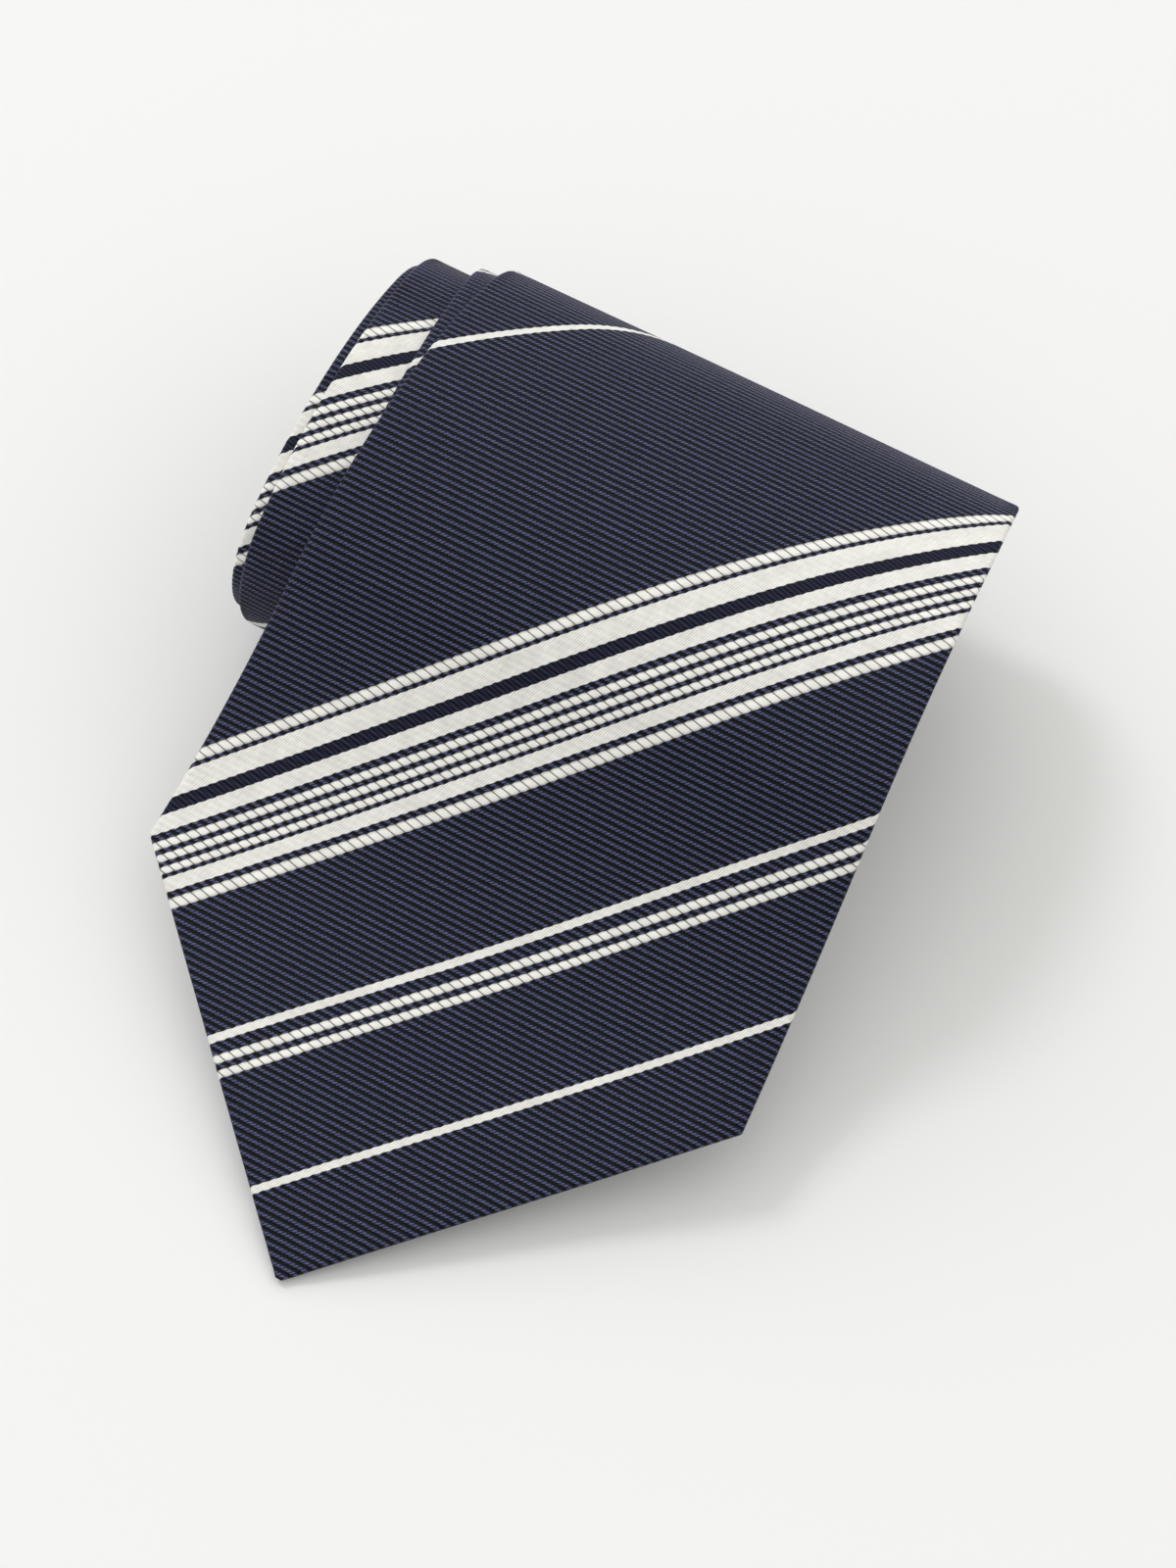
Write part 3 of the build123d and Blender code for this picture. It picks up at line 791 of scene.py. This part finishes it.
def patch(name, start, size, depth, thickness, pinch=0.0, columns=PATCH_COLUMNS):
    """A strap or label across the back. Its two ends are pinch nearer to the cloth."""
    width, length = size
    w_values = np.linspace(-width / 2, width / 2, columns)
    near = pinch * smooth((np.abs(w_values) - (width / 2 - 2 * PINCHED_END)) / PINCHED_END)
    crown = PATCH_CROWN * np.sin(np.linspace(0, pi, PATCH_ROWS))
    points, uv = [], []
    for s, rise in zip(np.linspace(start, start + length, PATCH_ROWS), crown):
        points.append(place(np.full(columns, s), w_values, depth + rise - near))
        uv.append(np.stack([w_values, np.full(columns, s)], axis=1))
    faces = grid_faces(PATCH_ROWS, columns)
    piece = new_object(name, np.concatenate(points), faces, np.concatenate(uv))
    thicken(piece, thickness)
    return piece


keeper = patch("keeper_strap", KEEPER_S, KEEPER_SIZE, KEEPER_DEPTH, KEEPER_CLOTH, pinch=PINCH)
finish_piece(keeper, "roll", "silk", SILK, "keeper_loop")
label = patch("label_blank", LABEL_S, LABEL_SIZE, TAPE_DEPTH, TAPE_CLOTH)
finish_piece(label, "roll", "label", LABEL, "blank_label")
tag = patch("care_tag_blank", TAG_S, TAG_SIZE, TAPE_DEPTH, TAPE_CLOTH, columns=TAG_COLUMNS)
finish_piece(tag, "roll", "tag", TAG, "care_tag")

# ---------------------------------------------------------------------------
# Thread work
# ---------------------------------------------------------------------------
BACK_DEPTH = 1.30           # of a stitch's ends on the back of the tie
HEM_PITCH, HEM_FROM_EDGE = 3.0, 0.8
HEM_START_S, HEM_END_S = HEM_RUN + 4.0, OPENING_END - 8.0
BLADE_TACK_S, TAIL_TACK_S, TACK_HALF, TACK_PITCH = 97.0, TIE_LENGTH - 60.0, 3.0, 0.28
TAIL_TACK_DEPTH = 1.28
LADDER_START_S, LADDER_END_S, LADDER_PITCH = 98.0, TIE_LENGTH - 62.0, 7.0
LADDER_AT_FOLD = 1.0        # from the fold line to the end of each run of slip stitches
FRONT_LADDER_DEPTH, ROLLED_LADDER_DEPTH = 1.27, 1.26
LOOP_S, LOOP_LENGTH, LOOP_WIDTH, LOOP_DEPTH, LOOP_RADIUS = 72.0, 17.0, 6.0, 1.12, 0.17
KEEPER_STITCH_W, KEEPER_STITCH_DEPTH = (27.0, 28.2), 1.49
LABEL_STITCH_W, LABEL_STITCH_DEPTH = (22.0,), 1.36
PATCH_STITCH_PITCH = 3.0


def stitch(s, w, depth, along, across, lift=0.06, radius=0.13):
    """A stitch centred at (s, w): a bowed thread this long along and across the tie, in mm."""
    t = np.linspace(-0.5, 0.5, 7)
    bow = lift * (1 - (2 * t) ** 2)
    return tube(place(s + along * t, w + across * t, depth + bow), radius * MM, 6)


def hem_stitches():
    """Slanting stitches that hold the blade's tipping, down both sides of its opening."""
    parts = []
    for s in np.arange(HEM_START_S, HEM_END_S, HEM_PITCH):
        at = float(opening_at(s)) + HEM_FROM_EDGE
        for side in (-1, 1):
            parts.append(stitch(s, side * at, BACK_DEPTH, along=1.2, across=-1.0 * side))
    return parts


def bar_tack(s, depth):
    """A dense bar of thread wound over the seam, with a core under it."""
    core = stitch(s, 0.0, depth - 0.03, along=0.0, across=2 * TACK_HALF, lift=0.02, radius=0.16)
    parts = [core]
    for w in np.arange(-TACK_HALF, TACK_HALF + 0.01, TACK_PITCH):
        parts.append(stitch(s, w, depth, along=1.5, across=0.12, lift=0.10, radius=0.10))
    return parts


def ladder(start, end, depth):
    """Slip stitches that cross the seam's gap at a slant."""
    parts = []
    for n, s in enumerate(np.arange(start + 3.0, end - 3.0, LADDER_PITCH)):
        side = 1 if n % 2 else -1
        parts.append(stitch(s, 0.0, depth, along=2.6, across=side * 1.0, lift=0.05, radius=0.10))
    return parts


def loop_points():
    """A slack closed loop of thread on the lining."""
    t = np.linspace(0, 2 * pi, 72)
    waist = 1.0 - 0.25 * np.cos(2 * t)
    along = LOOP_S + LOOP_LENGTH / 2 * np.cos(t)
    across = LOOP_WIDTH / 2 * np.sin(t) * waist + 0.6 * np.sin(3 * t)
    return place(along, across, LOOP_DEPTH + 0.04 * np.sin(2 * t))


def patch_stitches(start, length, margin, spots_w, depth, along, lift):
    """Stitches at both ends of a strap or label, from margin inside its near edge."""
    rows = start + np.arange(margin, length, PATCH_STITCH_PITCH)
    spots = [(s, side * w) for s in rows for side in (-1, 1) for w in spots_w]
    return [stitch(s, w, depth, along, 0.0, lift, radius=0.1) for s, w in spots]


def thread_piece(name, parts, body, *nodes):
    """One thread object from several (vertices, faces) parts."""
    vertices, faces = [], []
    for part_vertices, part_faces in parts:
        faces += shifted(part_faces, len(vertices))
        vertices += list(part_vertices)
    return finish_piece(new_object(name, vertices, faces), body, "thread", THREAD, *nodes)


thread_piece("tipping_hem_stitches", hem_stitches(), "blade", "blade_tipping_stitches")
thread_piece("bar_tack_blade", bar_tack(BLADE_TACK_S, BACK_DEPTH), "blade", "blade_bar_tack")
thread_piece("bar_tack_tail", bar_tack(TAIL_TACK_S, TAIL_TACK_DEPTH), "roll", "tail_bar_tack")
thread_piece("thread_loop", [tube(loop_points(), LOOP_RADIUS * MM)], "blade",
             "spare_thread_loop")
thread_piece("slip_stitches_front",
             ladder(LADDER_START_S, FOLD_S - LADDER_AT_FOLD, FRONT_LADDER_DEPTH),
             "blade", "slip_stitch_front")
thread_piece("slip_stitches_rolled",
             ladder(FOLD_S + LADDER_AT_FOLD, LADDER_END_S, ROLLED_LADDER_DEPTH),
             "roll", "slip_stitch_rolled")
thread_piece("keeper_end_stitches",
             patch_stitches(KEEPER_S, KEEPER_SIZE[1], 1.5, KEEPER_STITCH_W, KEEPER_STITCH_DEPTH,
                            along=1.8, lift=0.03),
             "roll", "keeper_stitches")
thread_piece("label_end_stitches",
             patch_stitches(LABEL_S, LABEL_SIZE[1], 2.0, LABEL_STITCH_W, LABEL_STITCH_DEPTH,
                            along=1.9, lift=0.04),
             "roll", "label_stitches")

# ---------------------------------------------------------------------------
# A point on the fold line and one BEND_LENGTH before it, and the blade's cloths baked in place
# ---------------------------------------------------------------------------
BEND_LENGTH = 20.0
fold_point = place(FOLD_S, 0.0, 0.0)
bend_end = place(FOLD_S - BEND_LENGTH, 0.0, 0.0)
for piece in (blade, filler):
    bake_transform(piece)


# ---------------------------------------------------------------------------
# Floor, light and camera, in metres
# ---------------------------------------------------------------------------
FLOOR_REACH, FLOOR_DROP = 6.0, 0.0002
KEY_POSITION, KEY_SIZE, KEY_POWER = Vector((-1.50, 0.46, 2.09)), 0.66, 13.0
KEY_COLOR, SKY_COLOR = (0.98, 1.0, 1.05), (1.0, 0.995, 0.97, 1.0)
SKY_LEVEL = 0.50
SKY_GRADIENT = (-0.12, 0.28, 0.56)      # added to the level, by the direction's x, y and z
CAMERA_AZIMUTH, CAMERA_ELEVATION, CAMERA_ROLL = radians(18.83), radians(61.1), radians(9.69)
CAMERA_TARGET, CAMERA_DISTANCE = Vector((0.00793, 0.00753, 0.015)), 0.449
LENS, SENSOR = 75.2, 36.0


def add_floor():
    """A pale floor just under the tie."""
    r = FLOOR_REACH
    mesh = bpy.data.meshes.new("floor")
    mesh.from_pydata([(-r, -r, 0), (r, -r, 0), (r, r, 0), (-r, r, 0)], [], [(0, 1, 2, 3)])
    floor = bpy.data.objects.new("floor", mesh)
    SCENE.collection.objects.link(floor)
    floor.location.z = -FLOOR_DROP
    paper = Nodes("pale floor")
    mesh.materials.append(paper.finish((0.90, 0.90, 0.895), roughness=0.9, specular=0.1))


def add_key_light():
    """A soft light from the left, behind and above."""
    data = bpy.data.lights.new("key", "AREA")
    data.shape = "DISK"
    data.size = KEY_SIZE
    data.energy = KEY_POWER
    data.color = KEY_COLOR
    light = bpy.data.objects.new("key", data)
    SCENE.collection.objects.link(light)
    light.location = KEY_POSITION
    light.rotation_euler = (-KEY_POSITION).to_track_quat("-Z", "Y").to_euler()


def add_sky():
    """Soft light from all round, stronger from overhead and from behind."""
    world = bpy.data.worlds.new("studio")
    world.use_nodes = True
    nodes, links = world.node_tree.nodes, world.node_tree.links
    sky = nodes["Background"]
    sky.inputs["Color"].default_value = SKY_COLOR
    direction = nodes.new("ShaderNodeTexCoord")
    toward = nodes.new("ShaderNodeVectorMath")
    toward.operation = "DOT_PRODUCT"
    toward.inputs[1].default_value = SKY_GRADIENT
    level = nodes.new("ShaderNodeMath")
    level.operation = "ADD"
    level.inputs[1].default_value = SKY_LEVEL
    links.new(direction.outputs["Generated"], toward.inputs[0])
    links.new(toward.outputs["Value"], level.inputs[0])
    links.new(level.outputs[0], sky.inputs["Strength"])
    SCENE.world = world


def add_camera():
    """The photograph's camera: round the target by azimuth and elevation, then rolled."""
    flat = cos(CAMERA_ELEVATION)
    back = Vector((sin(CAMERA_AZIMUTH) * flat, -cos(CAMERA_AZIMUTH) * flat, sin(CAMERA_ELEVATION)))
    level = Vector((cos(CAMERA_AZIMUTH), sin(CAMERA_AZIMUTH), 0.0))
    upright = back.cross(level)
    right = level * cos(CAMERA_ROLL) + upright * sin(CAMERA_ROLL)
    up = upright * cos(CAMERA_ROLL) - level * sin(CAMERA_ROLL)
    data = bpy.data.cameras.new("camera")
    data.sensor_fit = "VERTICAL"
    data.sensor_height = SENSOR
    data.lens = LENS
    data.clip_start = 0.01
    camera = bpy.data.objects.new("camera", data)
    SCENE.collection.objects.link(camera)
    rotation = Matrix((right, up, back)).transposed().to_4x4()
    camera.matrix_world = Matrix.Translation(CAMERA_TARGET + back * CAMERA_DISTANCE) @ rotation
    SCENE.camera = camera


add_floor()
add_key_light()
add_sky()
add_camera()
SCENE.view_settings.view_transform = "Standard"
